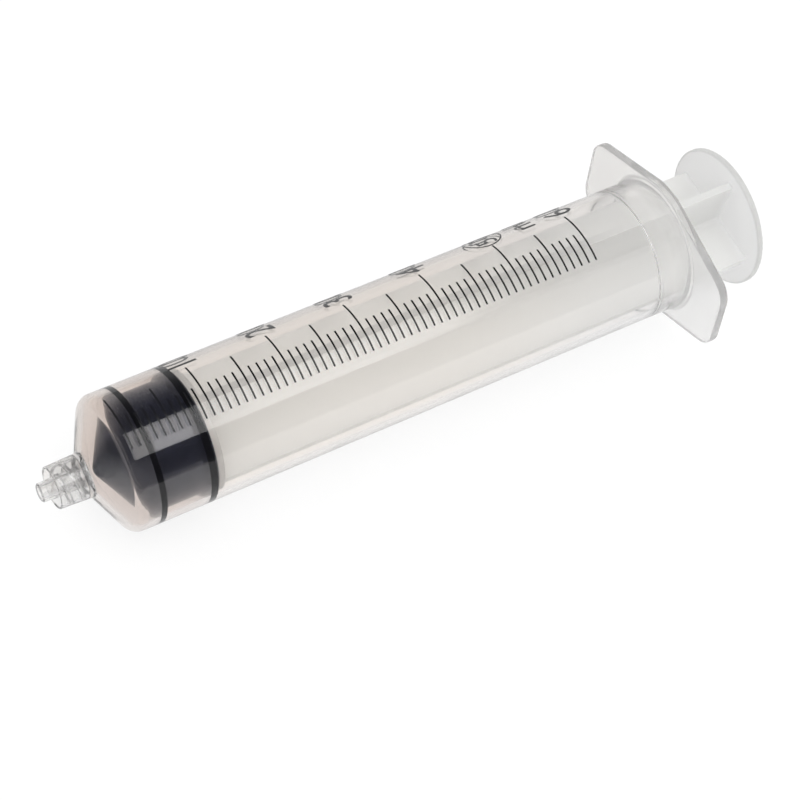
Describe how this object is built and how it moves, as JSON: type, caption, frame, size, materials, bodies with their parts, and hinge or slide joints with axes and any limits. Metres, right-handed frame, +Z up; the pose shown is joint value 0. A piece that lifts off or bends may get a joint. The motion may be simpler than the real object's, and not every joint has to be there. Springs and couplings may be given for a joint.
{
  "type": "luer lock syringe",
  "caption": "Clear hypodermic syringe with a luer lock nose, printed volume scale, finger flange and a sliding plunger with a rubber stopper.",
  "frame": {"origin": "centre of the luer tip's open end, on the barrel's axis", "axes": "+X runs along the axis from the tip to the thumb disc, +Z is up, and the finger flange is widest along Y"},
  "size_m": [0.1634, 0.0492, 0.0324],
  "materials": {
    "clear_plastic": "clear polypropylene with a slight haze",
    "milky_plastic": "translucent milky polypropylene, satin",
    "black_rubber": "smooth siliconed rubber",
    "ink": "printed black ink"
  },
  "bodies": {
    "barrel": {"barrel": "clear_plastic", "scale_print": "ink"},
    "plunger": {"stopper": "black_rubber", "plunger_rod": "milky_plastic"}
  },
  "joints": [
    {"name": "plunger_slide", "type": "slide", "parent": "barrel", "child": "plunger", "axis": [1, 0, 0], "range_m": [-0.0028, 0.1052]}
  ]
}
